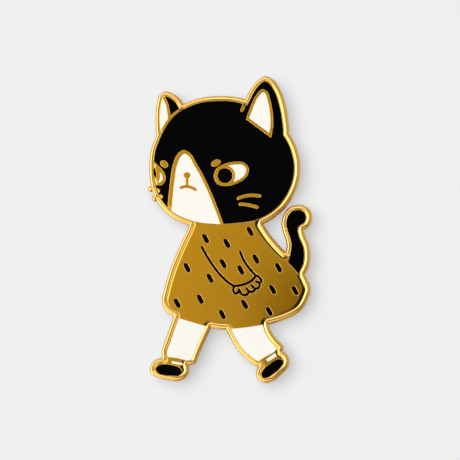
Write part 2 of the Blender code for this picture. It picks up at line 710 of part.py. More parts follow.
def shell_profile():
    """Half the section of the domed shell, open towards the disc."""
    foot = SHEET + RUNNING
    foot_radius = CLUTCH_RADIUS - SHEET - RUNNING
    flange = [(foot_radius, foot), (foot_radius, foot + SHEET), (SHELL_RADIUS, foot + SHEET)]
    hollow_radius = SHELL_RADIUS - SHEET
    outside = dome(SHELL_RADIUS, CLUTCH_HEIGHT)
    inside = dome(hollow_radius, CLUTCH_HEIGHT - SHEET)
    return flange + outside + inside[::-1] + [(hollow_radius, foot)]


def dome(radius, top):
    """Half the section of a dome on the shell's wall, from its foot to its crown."""
    rise = top - SHELL_WALL_HEIGHT
    quarter = [math.pi / 2 * k / DOME_STEPS for k in range(DOME_STEPS)]
    points = [(radius * math.cos(a), SHELL_WALL_HEIGHT + rise * math.sin(a)) for a in quarter]
    return points + [(0, top)]


def add_disc(name, parent, brass):
    """The clutch's disc with its ring of small points on the cloth side."""
    disc = add_object(f"{name}_clutch_disc", turned(disc_profile(), TURNED_STEPS), brass, parent=parent)
    nubs = bmesh.new()
    for number in range(NUB_COUNT):
        angle = 2 * math.pi * (number + 0.5) / NUB_COUNT
        across, up = NUB_CIRCLE * math.cos(angle), NUB_CIRCLE * math.sin(angle)
        centre = (across, (SHEET / 2 - NUB_HEIGHT) / 2, up)
        add_cone(nubs, centre, NUB_RADIUS, NUB_TIP_RADIUS, NUB_HEIGHT + SHEET / 2, NUB_STEPS)
    tool = add_object(f"{name}_nubs", nubs, brass, parent=parent)
    apply_boolean(disc, tool, "UNION")
    return disc


def add_shell(name, parent, brass):
    """The domed shell with a slot on each side for the wings."""
    shell = add_object(f"{name}_clutch_shell", turned(shell_profile(), TURNED_STEPS), brass, parent=parent)
    half = WING_HALF_WIDTH + SLOT_CLEARANCE
    reach = CLUTCH_RADIUS + SLOT_OVERRUN
    slot = box((-reach, JAW_HEIGHT - SLOT_HALF_HEIGHT, -half), (reach, JAW_HEIGHT + SLOT_HALF_HEIGHT, half))
    apply_boolean(shell, add_object(f"{name}_slot", slot, brass, parent=parent), "DIFFERENCE")
    return shell


def wing_stations(side):
    """The middle line of a wing's sheet from its jaw to its tip, as x, y and half width from its hinge."""
    middle = [
        (JAW_CLEARANCE, JAW_HEIGHT, JAW_HALF_WIDTH),
        (JAW_REACH, JAW_HEIGHT, JAW_HALF_WIDTH),
        (WING_ROOT, JAW_HEIGHT, WING_HALF_WIDTH),
        (WING_BEND_START, JAW_HEIGHT, WING_HALF_WIDTH),
    ]
    climb = WING_TIP_HEIGHT - JAW_HEIGHT - WING_BEND * WING_BEND_RISE
    slope = math.atan2(climb, WING_SPAN - WING_BEND_START - WING_BEND)
    step = WING_BEND / BEND_STEPS
    for k in range(1, BEND_STEPS + 1):
        angle = slope * k / BEND_STEPS
        x, y, _ = middle[-1]
        middle.append((x + step * math.cos(angle), y + step * math.sin(angle), WING_HALF_WIDTH))
    x, y, _ = middle[-1]
    for share, width in WING_TIP_TAPER:
        spot = (x + (WING_SPAN - x) * share, y + (WING_TIP_HEIGHT - y) * share, WING_HALF_WIDTH * width)
        middle.append(spot)
    return [(side * (x - wing_pivot_radius()), y - JAW_HEIGHT, half) for x, y, half in middle]


def wing_pivot_radius():
    """How far from the post's axis a wing turns: the middle of the shell's wall."""
    return SHELL_RADIUS - SHEET / 2


def add_wing(name, side, parent, brass):
    """One bent wing with its jaw, whose origin is on its hinge in the shell's slot."""
    stations = wing_stations(side)
    mesh = bmesh.new()
    rings = []
    for i, (x, y, half) in enumerate(stations):
        before, after = stations[max(i - 1, 0)], stations[min(i + 1, len(stations) - 1)]
        way = Vector((after[0] - before[0], after[1] - before[1], 0)).normalized()
        up = Vector((-way.y, way.x, 0)) * SPRING / 2
        middle = Vector((x, y, 0))
        across = Vector((0, 0, half))
        corners = (middle - up - across, middle + up - across, middle + up + across, middle - up + across)
        rings.append([mesh.verts.new(corner * MM) for corner in corners])
    for ring, following in zip(rings, rings[1:]):
        for k in range(4):
            mesh.faces.new((ring[k], ring[(k + 1) % 4], following[(k + 1) % 4], following[k]))
    mesh.faces.new(rings[0])
    mesh.faces.new(rings[-1])
    bmesh.ops.recalc_face_normals(mesh, faces=mesh.faces)
    word = "left" if side < 0 else "right"
    pivot = (side * wing_pivot_radius(), JAW_HEIGHT, 0)
    wing = add_object(f"{name}_clutch_wing_{word}", mesh, brass, pivot, parent)
    notch = bmesh.new()
    radius = NEEDLE_RADIUS + JAW_CLEARANCE
    add_cone(notch, (0, 0, 0), radius, radius, NOTCH_LENGTH, NEEDLE_STEPS)
    tool = add_object(f"{name}_{word}_notch", notch, brass, (0, JAW_HEIGHT, 0), parent)
    apply_boolean(wing, tool, "DIFFERENCE")
    return wing


def add_back(steel, brass):
    """The posts, and on each a clutch pushed home on the cloth."""
    for name, z in post_places().items():
        add_object(f"{name}_post", turned(needle_profile(), NEEDLE_STEPS), steel, (0, 0, z))
        clutch = add_empty(f"{name}_clutch_axis", (0, GARMENT_GAP, z))
        add_disc(name, clutch, brass)
        add_shell(name, clutch, brass)
        for side in (-1, 1):
            add_wing(name, side, clutch, brass)


def main():
    clear_scene()
    gold = finish("gold_plated_metal", (0.48, 0.24, 0.005), 0.12, 1.0)
    black = finish("black_enamel", (0.0, 0.0, 0.0), 0.08, 0.0)
    white = finish("white_enamel", (0.92, 0.89, 0.82), 0.1, 0.0)
    steel = finish("plated_steel", (0.62, 0.40, 0.10), 0.2, 1.0)
    brass = finish("clutch_brass", (0.68, 0.47, 0.16), 0.28, 1.0)
    add_front(gold, black, white)
    add_back(steel, brass)


main()
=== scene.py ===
"""The looks of a hard enamel pin: a gold-plated plate, ground enamel, and posts with butterfly clutches."""

import math

import bmesh
import bpy
import numpy as np
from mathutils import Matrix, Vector
from mathutils.geometry import delaunay_2d_cdt
from mathutils.kdtree import KDTree


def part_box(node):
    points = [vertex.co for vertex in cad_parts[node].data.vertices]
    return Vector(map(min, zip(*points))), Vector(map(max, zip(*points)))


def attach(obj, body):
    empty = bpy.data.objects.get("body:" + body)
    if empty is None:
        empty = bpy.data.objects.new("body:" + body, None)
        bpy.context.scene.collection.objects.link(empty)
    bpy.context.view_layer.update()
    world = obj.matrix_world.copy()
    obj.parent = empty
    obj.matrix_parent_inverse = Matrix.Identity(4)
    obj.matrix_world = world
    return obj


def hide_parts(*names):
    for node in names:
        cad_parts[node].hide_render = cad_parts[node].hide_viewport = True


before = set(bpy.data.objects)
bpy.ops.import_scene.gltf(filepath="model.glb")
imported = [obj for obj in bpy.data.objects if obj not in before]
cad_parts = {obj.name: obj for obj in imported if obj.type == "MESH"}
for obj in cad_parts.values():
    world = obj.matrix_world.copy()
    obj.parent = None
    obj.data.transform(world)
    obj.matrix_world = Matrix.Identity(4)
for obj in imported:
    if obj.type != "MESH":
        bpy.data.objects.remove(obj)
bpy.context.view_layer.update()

bl_info = {
    "name": "Enamel Pin",
    "version": (1, 0, 0),
    "blender": (4, 5, 0),
    "location": "View3D > Sidebar > Enamel Pin",
    "description": "Builds a hard enamel pin with its posts and clutches, and a plain stage for it",
    "category": "Add Mesh",
}

# Lengths are in millimetres unless a comment says otherwise. The front faces -Y.
MM = 0.001
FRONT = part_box("base_plate")[0].y / MM  # the flat front of the plate
BACK = 0.0
CELL_FLOOR = FRONT + 0.5
SEAT_RADIUS = 2.52
SEAT_DEEP = 0.15
CLUTCHES = ("upper", "lower")
POST_HEIGHTS = {name: sum(c.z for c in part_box(f"{name}_post")) / 2 / MM for name in CLUTCHES}
BACK_NAMES = ("post", "clutch")
ENAMELS = [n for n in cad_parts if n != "base_plate" and not any(w in n for w in BACK_NAMES)]

OUTLINE_STEP = 0.12  # spacing of points along an outline
OUTLINE_TURN = 12.0  # most degrees of turn between two of them
CORNER_TURN = 42.0  # a sharper turn than this is a real corner
FAN_TURN = 14.0  # most degrees of turn between two points of a row that fans out round a corner
WIDE_SIDE = np.array([0.95, -0.31])  # the lower right, where the plate was polished harder
RIM_ROWS = (8, 16, 24, 32, 40, 48, 56, 64, 72, 80, 90)  # degrees round the rim's rounding
EDGE_ROWS = (30, 60, 90)
BACK_ROWS = (30, 60, 90)
BACK_ROUNDING = 0.10
EDGE_SHADE_STRIP = 0.16  # how far the darker, rougher outer strip reaches in over the rim; its darker gold is painted shade
RIM_FADE = 0.10  # share of the rim's width over which its polish and paler painted sheen fade into the flat
EDGE_SHEEN_SHARE = 1.2  # how fully the rounded edge of a cell takes the rim's polish and paler painted sheen
FLAT_MARGIN = 0.03  # past a rounding, where the flat starts
ROW_SHARE, ROW_SLACK = 0.985, 0.001  # a row's point keeps this share of its offset, less the slack
ROW_CLEARANCE = 0.02  # least space between a row and the edges of the other kind
MOST_MISMATCH = 0.4  # most that a cell may differ in place and size from its enamel node
DOUBLES = 1e-7  # points closer than this, in metres, are one
MERGE = 2e-4  # points of a new piece closer than this are one
SMOOTH_ANGLE = math.radians(32)

NEEDLE_RADIUS = 0.55
GROOVE_RADIUS = 0.43
FIRST_GROOVE = 5.0  # the middle of the needle's first groove, from the plate's back
GROOVE_PITCH = 1.3
GROOVES_END = 6.9
CLUTCH_BASE = 2.6  # the disc's cloth side, from the plate's back
CLUTCH_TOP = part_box("upper_clutch_shell")[1].y / MM
BRASS_SHEET = 0.35
NUBS = 6
NUB_RING = 3.39
NUB_FOOT, NUB_TIP, NUB_HEIGHT, NUB_ROUNDING = 0.35, 0.08, 0.475, 0.03
NUB_MIDDLE = CLUTCH_BASE - 0.0625
SLOT = (13.3, 1.3, 5.4)  # through the whole shell, with room round the wings
SLOT_MIDDLE = CLUTCH_BASE + 2.4


def linear(code):
    """The linear colour of an sRGB hex code."""
    values = [int(code[i:i + 2], 16) / 255 for i in (1, 3, 5)]
    return tuple(v / 12.92 if v <= 0.04045 else ((v + 0.055) / 1.055) ** 2.4 for v in values)


class PinSettings(bpy.types.PropertyGroup):
    """The pin's sizes and colours."""
    rim_width: bpy.props.FloatProperty(
        name="Rim rounding width", description="How far the polished rounding reaches in from the outside",
        default=1.12 * MM, unit="LENGTH")
    rim_lean: bpy.props.FloatProperty(
        name="Rim lean", description="How much wider the rounding is on its wide side, as a share",
        default=0.20, subtype="FACTOR", min=0.0, max=0.5)
    rim_depth: bpy.props.FloatProperty(
        name="Rim rounding depth", description="How far the rounding falls at the outside",
        default=0.62 * MM, unit="LENGTH")
    edge_width: bpy.props.FloatProperty(
        name="Cell edge width", description="Width of the rubbed edge of the metal round each enamel",
        default=0.075 * MM, unit="LENGTH")
    edge_depth: bpy.props.FloatProperty(
        name="Cell edge depth", description="How far that edge falls to the enamel",
        default=0.06 * MM, unit="LENGTH")
    enamel_drop: bpy.props.FloatProperty(
        name="Enamel drop", description="How far the ground enamel lies under the flat metal",
        default=0.05 * MM, unit="LENGTH")
    gold: bpy.props.FloatVectorProperty(
        name="Gold", description="Colour of the gold plating", subtype="COLOR", default=linear("#F6B314"))
    # painted sheen: a paler gold on the rim and cell edges that whitens the highlights mirrored there; the
    # back takes about half of it
    polish_and_sheen_gold: bpy.props.FloatVectorProperty(
        name="Rubbed gold", description="Paler colour of the plating where an edge was rubbed bright",
        subtype="COLOR", default=linear("#F8C15E"))
    # painted shade: a darker gold on the outermost strip of the rim and the side wall, standing in for the
    # shadow the edge mirrors
    edge_shade_gold: bpy.props.FloatVectorProperty(
        name="Trimmed gold", description="Darker colour of the plating on the trimmed side of the plate",
        subtype="COLOR", default=linear("#B8853F"))
    black: bpy.props.FloatVectorProperty(
        name="Black enamel", description="Colour of the black enamel",
        subtype="COLOR", default=linear("#010101"))
    white: bpy.props.FloatVectorProperty(
        name="White enamel", description="Colour of the white enamel",
        subtype="COLOR", default=linear("#F2F0E5"))
    brass: bpy.props.FloatVectorProperty(
        name="Clutch brass", description="Colour of the clutches' brass",
        subtype="COLOR", default=linear("#E2B65C"))
    post: bpy.props.FloatVectorProperty(
        name="Post plating", description="Colour of the plating on the posts",
        subtype="COLOR", default=linear("#E8C372"))


class StageSettings(bpy.types.PropertyGroup):
    """The stage's sizes, colours and lights."""
    sheet_gap: bpy.props.FloatProperty(
        name="Sheet gap", description="From the plate's back to the pale sheet that the posts go through",
        default=1.2 * MM, unit="LENGTH")
    sheet: bpy.props.FloatVectorProperty(
        name="Sheet", description="Colour of the pale sheet", subtype="COLOR", default=linear("#E6E6E6"))
    ground: bpy.props.FloatVectorProperty(
        name="Ground", description="Colour of the plain ground past the sheet",
        subtype="COLOR", default=linear("#F0F0F0"))
    surroundings: bpy.props.FloatProperty(
        name="Surroundings", description="Strength of the light tent that the metal mirrors", default=1.0)
    key: bpy.props.FloatProperty(
        name="Key", description="Strength of the soft key light from the upper left", default=2.60)
    fill: bpy.props.FloatProperty(
        name="Fill", description="Strength of the even fill from the front", default=1.12)


# ---- Materials ----


def add_node(tree, kind, inputs=None, **settings):
    """A node with its settings, and its inputs set to values or linked to sockets."""
    node = tree.nodes.new(kind)
    for name, value in settings.items():
        setattr(node, name, value)
    for name, value in (inputs or {}).items():
        if isinstance(value, bpy.types.NodeSocket):
            tree.links.new(value, node.inputs[name])
        else:
            node.inputs[name].default_value = value
    return node


def new_material(name, **constants):
    """A Principled material with values on its own sockets. Gives the material, its tree and its shader."""
    material = bpy.data.materials.new(name)
    material.use_nodes = True
    tree = material.node_tree
    shader = tree.nodes["Principled BSDF"]
    for socket, value in constants.items():
        socket = socket.replace("_", " ")
        shader.inputs[socket].default_value = (*value, 1) if isinstance(value, tuple) else value
    return material, tree, shader


def object_place(tree):
    """The place on the piece, which every pattern starts from."""
    return add_node(tree, "ShaderNodeTexCoord").outputs["Object"]


def noise(tree, place, pitch, detail=3.0, roughness=0.5):
    """Cloudy noise whose blotches are about pitch millimetres across."""
    inputs = {"Vector": place, "Scale": 1 / (pitch * MM), "Detail": detail, "Roughness": roughness}
    return add_node(tree, "ShaderNodeTexNoise", inputs).outputs["Fac"]


def mapped(tree, value, low, high, start=0.3, end=0.7):
    """A value from start to end turned into one from low to high."""
    inputs = {"Value": value, "From Min": start, "From Max": end, "To Min": low, "To Max": high}
    return add_node(tree, "ShaderNodeMapRange", inputs).outputs["Result"]


def maths(tree, operation, first, second=0.0, third=0.0):
    """The result of one sum of values or sockets."""
    return add_node(tree, "ShaderNodeMath", {0: first, 1: second, 2: third}, operation=operation).outputs[0]


def mixed(tree, factor, first, second):
    """Two colours mixed by a factor."""
    return add_node(tree, "ShaderNodeMix", {0: factor, 6: first, 7: second}, data_type="RGBA").outputs[2]


def shade(colour, share):
    """A share of a colour, as a node takes it."""
    return (*(c * share for c in colour), 1.0)


def add_bump(tree, shader, height, strength, depth):
    """Fine relief on the shader, at most depth millimetres deep. Gives its normal."""
    inputs = {"Height": height, "Strength": strength, "Distance": depth * MM}
    bump = add_node(tree, "ShaderNodeBump", inputs)
    tree.links.new(bump.outputs["Normal"], shader.inputs["Normal"])
    return bump.outputs["Normal"]


def polished_gold_plate(colour, polish_and_sheen, edge_shade):
    """Gold plating over a struck and polished plate: satin flats, a mirror-bright rim and a blasted back. The
    rim and cell edges are tinted paler as painted sheen, and the outermost strip and side wall darker as
    painted shade.
    """
    material, tree, shader = new_material(
        "polished_gold_plate", Metallic=1.0, Coat_Weight=0.40, Coat_Roughness=0.05)
    place = object_place(tree)
    rim = add_node(tree, "ShaderNodeAttribute", attribute_name="rim").outputs["Fac"]
    back = add_node(tree, "ShaderNodeAttribute", attribute_name="back").outputs["Fac"]
    # the outer strip and side wall: rougher, and painted darker as shade
    side = add_node(tree, "ShaderNodeAttribute", attribute_name="side").outputs["Fac"]
    clouds = noise(tree, place, 6.0, 4.0)
    wiped = add_node(tree, "ShaderNodeMapping", {
        "Vector": place, "Rotation": (0, math.radians(28), 0), "Scale": (1, 1, 9)})
    wipes = noise(tree, wiped.outputs["Vector"], 1.4, 4.0)
    flat = maths(tree, "ADD", mapped(tree, clouds, 0.08, 0.11), mapped(tree, wipes, -0.01, 0.02))
    bright = mapped(tree, clouds, 0.03, 0.06)
    polished = add_node(tree, "ShaderNodeMix", {"Factor": rim, "A": flat, "B": bright}).outputs["Result"]
    front = add_node(tree, "ShaderNodeMix", {"Factor": side, "A": polished, "B": 0.26}).outputs["Result"]
    grit = noise(tree, place, 0.09, 2.0)
    blasted = mapped(tree, grit, 0.36, 0.50)
    finish = add_node(tree, "ShaderNodeMix", {"Factor": back, "A": front, "B": blasted}).outputs["Result"]
    tree.links.new(finish, shader.inputs["Roughness"])
    plated = mixed(tree, mapped(tree, clouds, 0.0, 1.0), shade(colour, 1.0), shade(colour, 0.95))
    # painted sheen on the rim and cell edges; about half of the paler gold on the back
    paler_share = maths(tree, "MAXIMUM", rim, maths(tree, "MULTIPLY", back, 0.55))
    front_tone = mixed(tree, paler_share, plated, shade(polish_and_sheen, 1.0))
    # painted shade: the outer strip and side wall take the darker gold
    tree.links.new(mixed(tree, side, front_tone, shade(edge_shade, 1.0)), shader.inputs["Base Color"])
    ripple = noise(tree, place, 1.1, 2.0)
    soft = add_bump(tree, shader, ripple, 0.02, 0.008)
    rough = add_node(tree, "ShaderNodeBump", {
        "Height": grit, "Strength": maths(tree, "MULTIPLY", back, 0.5),
        "Distance": 0.02 * MM, "Normal": soft})
    tree.links.new(rough.outputs["Normal"], shader.inputs["Normal"])
    return material


def hard_enamel(name, colour, specular, polish):
    """Ground and polished hard enamel: glassy, with faint waves and grinding hairlines."""
    material, tree, shader = new_material(name, Specular_IOR_Level=specular, Metallic=0.0)
    place = object_place(tree)
    clouds = noise(tree, place, 5.0, 3.0)
    tone = mixed(tree, mapped(tree, clouds, 0.0, 1.0), shade(colour, 1.0), shade(colour, 0.965))
    tree.links.new(tone, shader.inputs["Base Color"])
    ground = add_node(tree, "ShaderNodeMapping", {
        "Vector": place, "Rotation": (0, math.radians(-35), 0), "Scale": (1, 1, 14)})
    hairs = noise(tree, ground.outputs["Vector"], 1.6, 4.0)
    tree.links.new(mapped(tree, hairs, polish * 0.8, polish * 1.4), shader.inputs["Roughness"])
    add_bump(tree, shader, noise(tree, place, 2.6, 2.0), 0.08, 0.006)
    return material


def spun_metal(name, colour, height, low, high):
    """Metal turned on a lathe: rings about the post's axis, with a little tarnish between them."""
    material, tree, shader = new_material(name, Metallic=1.0)
    place = object_place(tree)
    centred = add_node(tree, "ShaderNodeMapping", {"Vector": place, "Location": (0, 0, -height * MM)})
    wave = add_node(tree, "ShaderNodeTexWave", {
        "Vector": centred.outputs["Vector"], "Scale": 1 / (1.6 * MM), "Distortion": 1.2, "Detail": 3.0,
        "Detail Scale": 1.4}, wave_type="RINGS", rings_direction="Y")
    clouds = noise(tree, place, 1.8, 5.0, 0.6)
    grain = maths(tree, "ADD", maths(tree, "MULTIPLY", wave.outputs["Fac"], 0.35), clouds)
    tree.links.new(mapped(tree, grain, low, high, 0.35, 1.0), shader.inputs["Roughness"])
    tone = mixed(tree, mapped(tree, clouds, 0.0, 1.0, 0.42, 0.68), shade(colour, 1.0), shade(colour, 0.72))
    tree.links.new(tone, shader.inputs["Base Color"])
    add_bump(tree, shader, grain, 0.22, 0.012)
    return material


def spring_brass(colour):
    """Cold-rolled spring brass: straight rolling grain along the wings, and finger marks."""
    material, tree, shader = new_material("rolled_spring_brass", Metallic=1.0)
    place = object_place(tree)
    along = add_node(tree, "ShaderNodeMapping", {"Vector": place, "Scale": (1, 6, 22)}).outputs["Vector"]
    grain = noise(tree, along, 1.5, 4.0)
    clouds = noise(tree, place, 2.2, 5.0, 0.6)
    rough = maths(tree, "ADD", mapped(tree, grain, 0.20, 0.32), mapped(tree, clouds, 0.0, 0.10))
    tree.links.new(rough, shader.inputs["Roughness"])
    tone = mixed(tree, mapped(tree, clouds, 0.0, 1.0, 0.42, 0.68), shade(colour, 1.0), shade(colour, 0.76))
    tree.links.new(tone, shader.inputs["Base Color"])
    add_bump(tree, shader, grain, 0.20, 0.008)
    return material


def pale_sheet(colour):
    """Smooth matt paper, clear from behind so that the back can be seen."""
    material, tree, shader = new_material("pale_sheet", Roughness=0.9, Specular_IOR_Level=0.1)
    place = object_place(tree)
    fibres = noise(tree, place, 0.5, 4.0)
    tone = mixed(tree, fibres, shade(colour, 1.0), shade(colour, 0.985))
    tree.links.new(tone, shader.inputs["Base Color"])
    behind = add_node(tree, "ShaderNodeNewGeometry").outputs["Backfacing"]
    clear = add_node(tree, "ShaderNodeBsdfTransparent")
    both = add_node(tree, "ShaderNodeMixShader", {0: behind, 1: shader.outputs[0], 2: clear.outputs[0]})
    tree.links.new(both.outputs[0], tree.nodes["Material Output"].inputs["Surface"])
    return material


# ---- Outlines of the struck plate ----


def front_loops():
    """The plate's flat front as closed loops of (x, z) in millimetres, with the metal on the left of each."""
    mesh = bmesh.new()
    mesh.from_mesh(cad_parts["base_plate"].data)
    bmesh.ops.remove_doubles(mesh, verts=mesh.verts, dist=DOUBLES)
    mesh.normal_update()
    flat = [f for f in mesh.faces if f.normal.y < -0.9 and f.calc_center_median().y / MM < FRONT + 0.01]
    members, following = set(flat), {}
    for face in flat:
        for corner in face.loops:
            if any(other not in members for other in corner.edge.link_faces):
                following[corner.vert] = corner.link_loop_next.vert
    loops = []
    while following:
        start, here = following.popitem()
        loop = [start]
        while here is not start:
            loop.append(here)
            here = following.pop(here)
        loops.append(np.array([(v.co.x / MM, v.co.z / MM) for v in loop]))
    mesh.free()
    return sorted(loops, key=lambda p: -abs(area(p)))


def area(points):
    """The area inside a loop, which is negative when it runs clockwise."""
    x, z = points.T
    return float(np.dot(x, np.roll(z, -1)) - np.dot(z, np.roll(x, -1))) / 2


def unit(vectors):
    """Each vector at a length of one."""
    return vectors / np.maximum(np.linalg.norm(vectors, axis=-1, keepdims=True), 1e-9)


def smoothed(points):
    """Close points along a smooth curve through a loop's points, with its real corners kept."""
    ways = unit(np.roll(points, -1, 0) - points)
    turns = np.degrees(np.arccos(np.clip((ways * np.roll(ways, 1, 0)).sum(1), -1, 1)))
    tangents = unit(np.roll(points, -1, 0) - np.roll(points, 1, 0))
    found = []
    for i, start in enumerate(points):
        after = (i + 1) % len(points)
        end, way = points[after], ways[i]
        first = None if turns[i] > CORNER_TURN else tangents[i]
        last = None if turns[after] > CORNER_TURN else tangents[after]
        if first is None:
            first = way if last is None else 2 * np.dot(way, last) * way - last
        if last is None:
            last = 2 * np.dot(way, first) * way - first
        length = np.linalg.norm(end - start)
        turn = math.degrees(math.acos(np.clip(np.dot(first, last), -1, 1)))
        steps = max(1, math.ceil(length / OUTLINE_STEP), math.ceil(turn / OUTLINE_TURN))
        for k in range(steps):
            t = k / steps
            found.append(
                (2 * t ** 3 - 3 * t ** 2 + 1) * start + (t ** 3 - 2 * t ** 2 + t) * length * first
                + (3 * t ** 2 - 2 * t ** 3) * end + (t ** 3 - t ** 2) * length * last)
    return np.array(found)


class Outlines:
    """Closed outlines whose distance from any point can be asked."""

    def __init__(self, loops):
        self.starts = np.vstack(loops)
        self.ends = np.vstack([np.roll(loop, -1, 0) for loop in loops])
        first = np.cumsum([0] + [len(loop) for loop in loops])
        self.before = np.concatenate([a + (np.arange(b - a) - 1) % (b - a) for a, b in zip(first, first[1:])])
        self.tree = KDTree(len(self.starts))
        for number, (x, z) in enumerate(self.starts):
            self.tree.insert((x, z, 0), number)
        self.tree.balance()

    def distance(self, points):
        """How far each point is from the nearest outline."""
        return self.nearest(points)[0]

    def nearest(self, points):
        """How far each point is from the nearest outline, and which way that outline faces there."""
        nearest = np.array([[n for _, n, _ in self.tree.find_n((x, z, 0), 3)] for x, z in points])
        best, facing = np.full(len(points), 1e9), np.zeros((len(points), 2))
        for column in nearest.T:
            for piece in (column, self.before[column]):
                start, run = self.starts[piece], self.ends[piece] - self.starts[piece]
                share = ((points - start) * run).sum(1) / np.maximum((run * run).sum(1), 1e-12)
                foot = start + np.clip(share, 0, 1)[:, None] * run
                far = np.linalg.norm(points - foot, axis=1)
                outward = unit(np.stack([run[:, 1], -run[:, 0]], 1))
                outward = np.where(far[:, None] > 0.01, unit(foot - points), outward)
                facing[far < best] = outward[far < best]
                best = np.minimum(best, far)
        return best, facing

    def holds(self, points):
        """Whether each point is inside an odd number of the outlines."""
        inside = np.zeros(len(points), bool)
        for (x0, z0), (x1, z1) in zip(self.starts, self.ends):
            if z0 == z1:
                continue
            level = (points[:, 1] >= z0) != (points[:, 1] >= z1)
            inside ^= level & (points[:, 0] < x0 + (points[:, 1] - z0) * (x1 - x0) / (z1 - z0))
        return inside


def offset_row(loop, amount):
    """A loop moved to its left by an amount, fanned out round corners that open."""
    ways = unit(np.roll(loop, -1, 0) - loop)
    lefts = np.stack([-ways[:, 1], ways[:, 0]], 1)
    row = []
    for spot, before, after in zip(loop, np.roll(lefts, 1, 0), lefts):
        turn = math.atan2(before[0] * after[1] - before[1] * after[0], float(np.dot(before, after)))
        count = math.ceil(math.degrees(-turn) / FAN_TURN) if turn < -math.radians(FAN_TURN) else 0
        shares = [k / count for k in range(count + 1)] if count else [0.5]
        for share in shares:
            row.append(spot + unit(before * (1 - share) + after * share) * amount)
    return np.array(row)


def triangulated(loops, rows):
    """One triangle mesh of the loops and open rows. Gives its points, triangles and the loops round each."""
    points, edges, faces = [], [], []
    for loop in loops:
        ring = list(range(len(points), len(points) + len(loop)))
        faces.append(ring if area(loop) > 0 else ring[::-1])
        points.extend(loop)
    for row, kept in rows:
        places = {}
        for i in np.flatnonzero(kept):
            places[i] = len(points)
            points.append(row[i])
        edges.extend((places[i], places[i + 1]) for i in places if i + 1 in places)
    spots = [Vector((float(x), float(z))) for x, z in points]
    found = delaunay_2d_cdt(spots, edges, faces, 1, 1e-5, True)
    inside = [(list(face), owner) for face, owner in zip(found[2], found[5]) if 0 in owner]
    return np.array([tuple(v) for v in found[0]]), [i[0] for i in inside], [i[1] for i in inside]


def sides_of(triangle):
    """The sides of a triangle, as pairs of points in order."""
    return zip(triangle, triangle[1:] + triangle[:1])


def rounding(distance, width, depth):
    """How far a quarter-ellipse edge has fallen at a distance from the edge."""
    way = 1 - np.clip(distance / width, 0, 1)
    return depth * (1 - np.sqrt(1 - way ** 2))


def row_offsets(width, degrees):
    """Where the rows of a rounding lie, with one more just past it that keeps the flat beyond it flat."""
    return [width * (1 - math.cos(math.radians(d))) for d in degrees] + [width + FLAT_MARGIN]


def rows_for(loops, outlines, width, degrees, allowed):
    """Rows that follow an edge's rounding, without the points that another part of the edge is nearer to."""
    rows = []
    for loop in loops:
        for amount in row_offsets(width, degrees):
            row = offset_row(loop, amount)
            kept = outlines.distance(row) >= amount * ROW_SHARE - ROW_SLACK
            rows.append((row, kept & allowed(row)))
    return rows


def circle_loop(height, radius, steps=64):
    """A circle in the plate's plane, round the middle line at a height."""
    angles = [2 * math.pi * k / steps for k in range(steps)]
    return np.array([(radius * math.cos(a), height + radius * math.sin(a)) for a in angles])


# ---- Meshes ----


def new_object(name, data):
    """A new object in the scene."""
    obj = bpy.data.objects.new(name, data)
    bpy.context.scene.collection.objects.link(obj)
    return obj


def sheet_object(name, points, faces, material, attributes=None):
    """A closed shaded object from points in millimetres."""
    data = bpy.data.meshes.new(name)
    data.from_pydata([tuple(c * MM for c in p) for p in points], [], faces)
    for key, values in (attributes or {}).items():
        data.attributes.new(key, "FLOAT", "POINT").data.foreach_set("value", values)
    mesh = bmesh.new()
    mesh.from_mesh(data)
    bmesh.ops.remove_doubles(mesh, verts=mesh.verts, dist=MERGE * MM)
    bmesh.ops.dissolve_degenerate(mesh, edges=mesh.edges, dist=MERGE * MM / 4)
    bmesh.ops.recalc_face_normals(mesh, faces=mesh.faces)
    mesh.to_mesh(data)
    mesh.free()
    obj = new_object(name, data)
    data.materials.append(material)
    smooth(obj)
    return obj


def smooth(obj):
    """Shades an object smooth except across its sharp edges."""
    alone(obj)
    bpy.ops.object.shade_smooth_by_angle(angle=SMOOTH_ANGLE)


def alone(obj):
    """Selects one object and nothing else."""
    bpy.ops.object.select_all(action="DESELECT")
    obj.select_set(True)
    bpy.context.view_layer.objects.active = obj


def take_place(piece, node, body):
    """Lets a finished piece stand for a CAD node, on its body."""
    piece.visible_diffuse = False  # no gold glow is thrown on the pale sheet
    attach(piece, body)
    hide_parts(node)


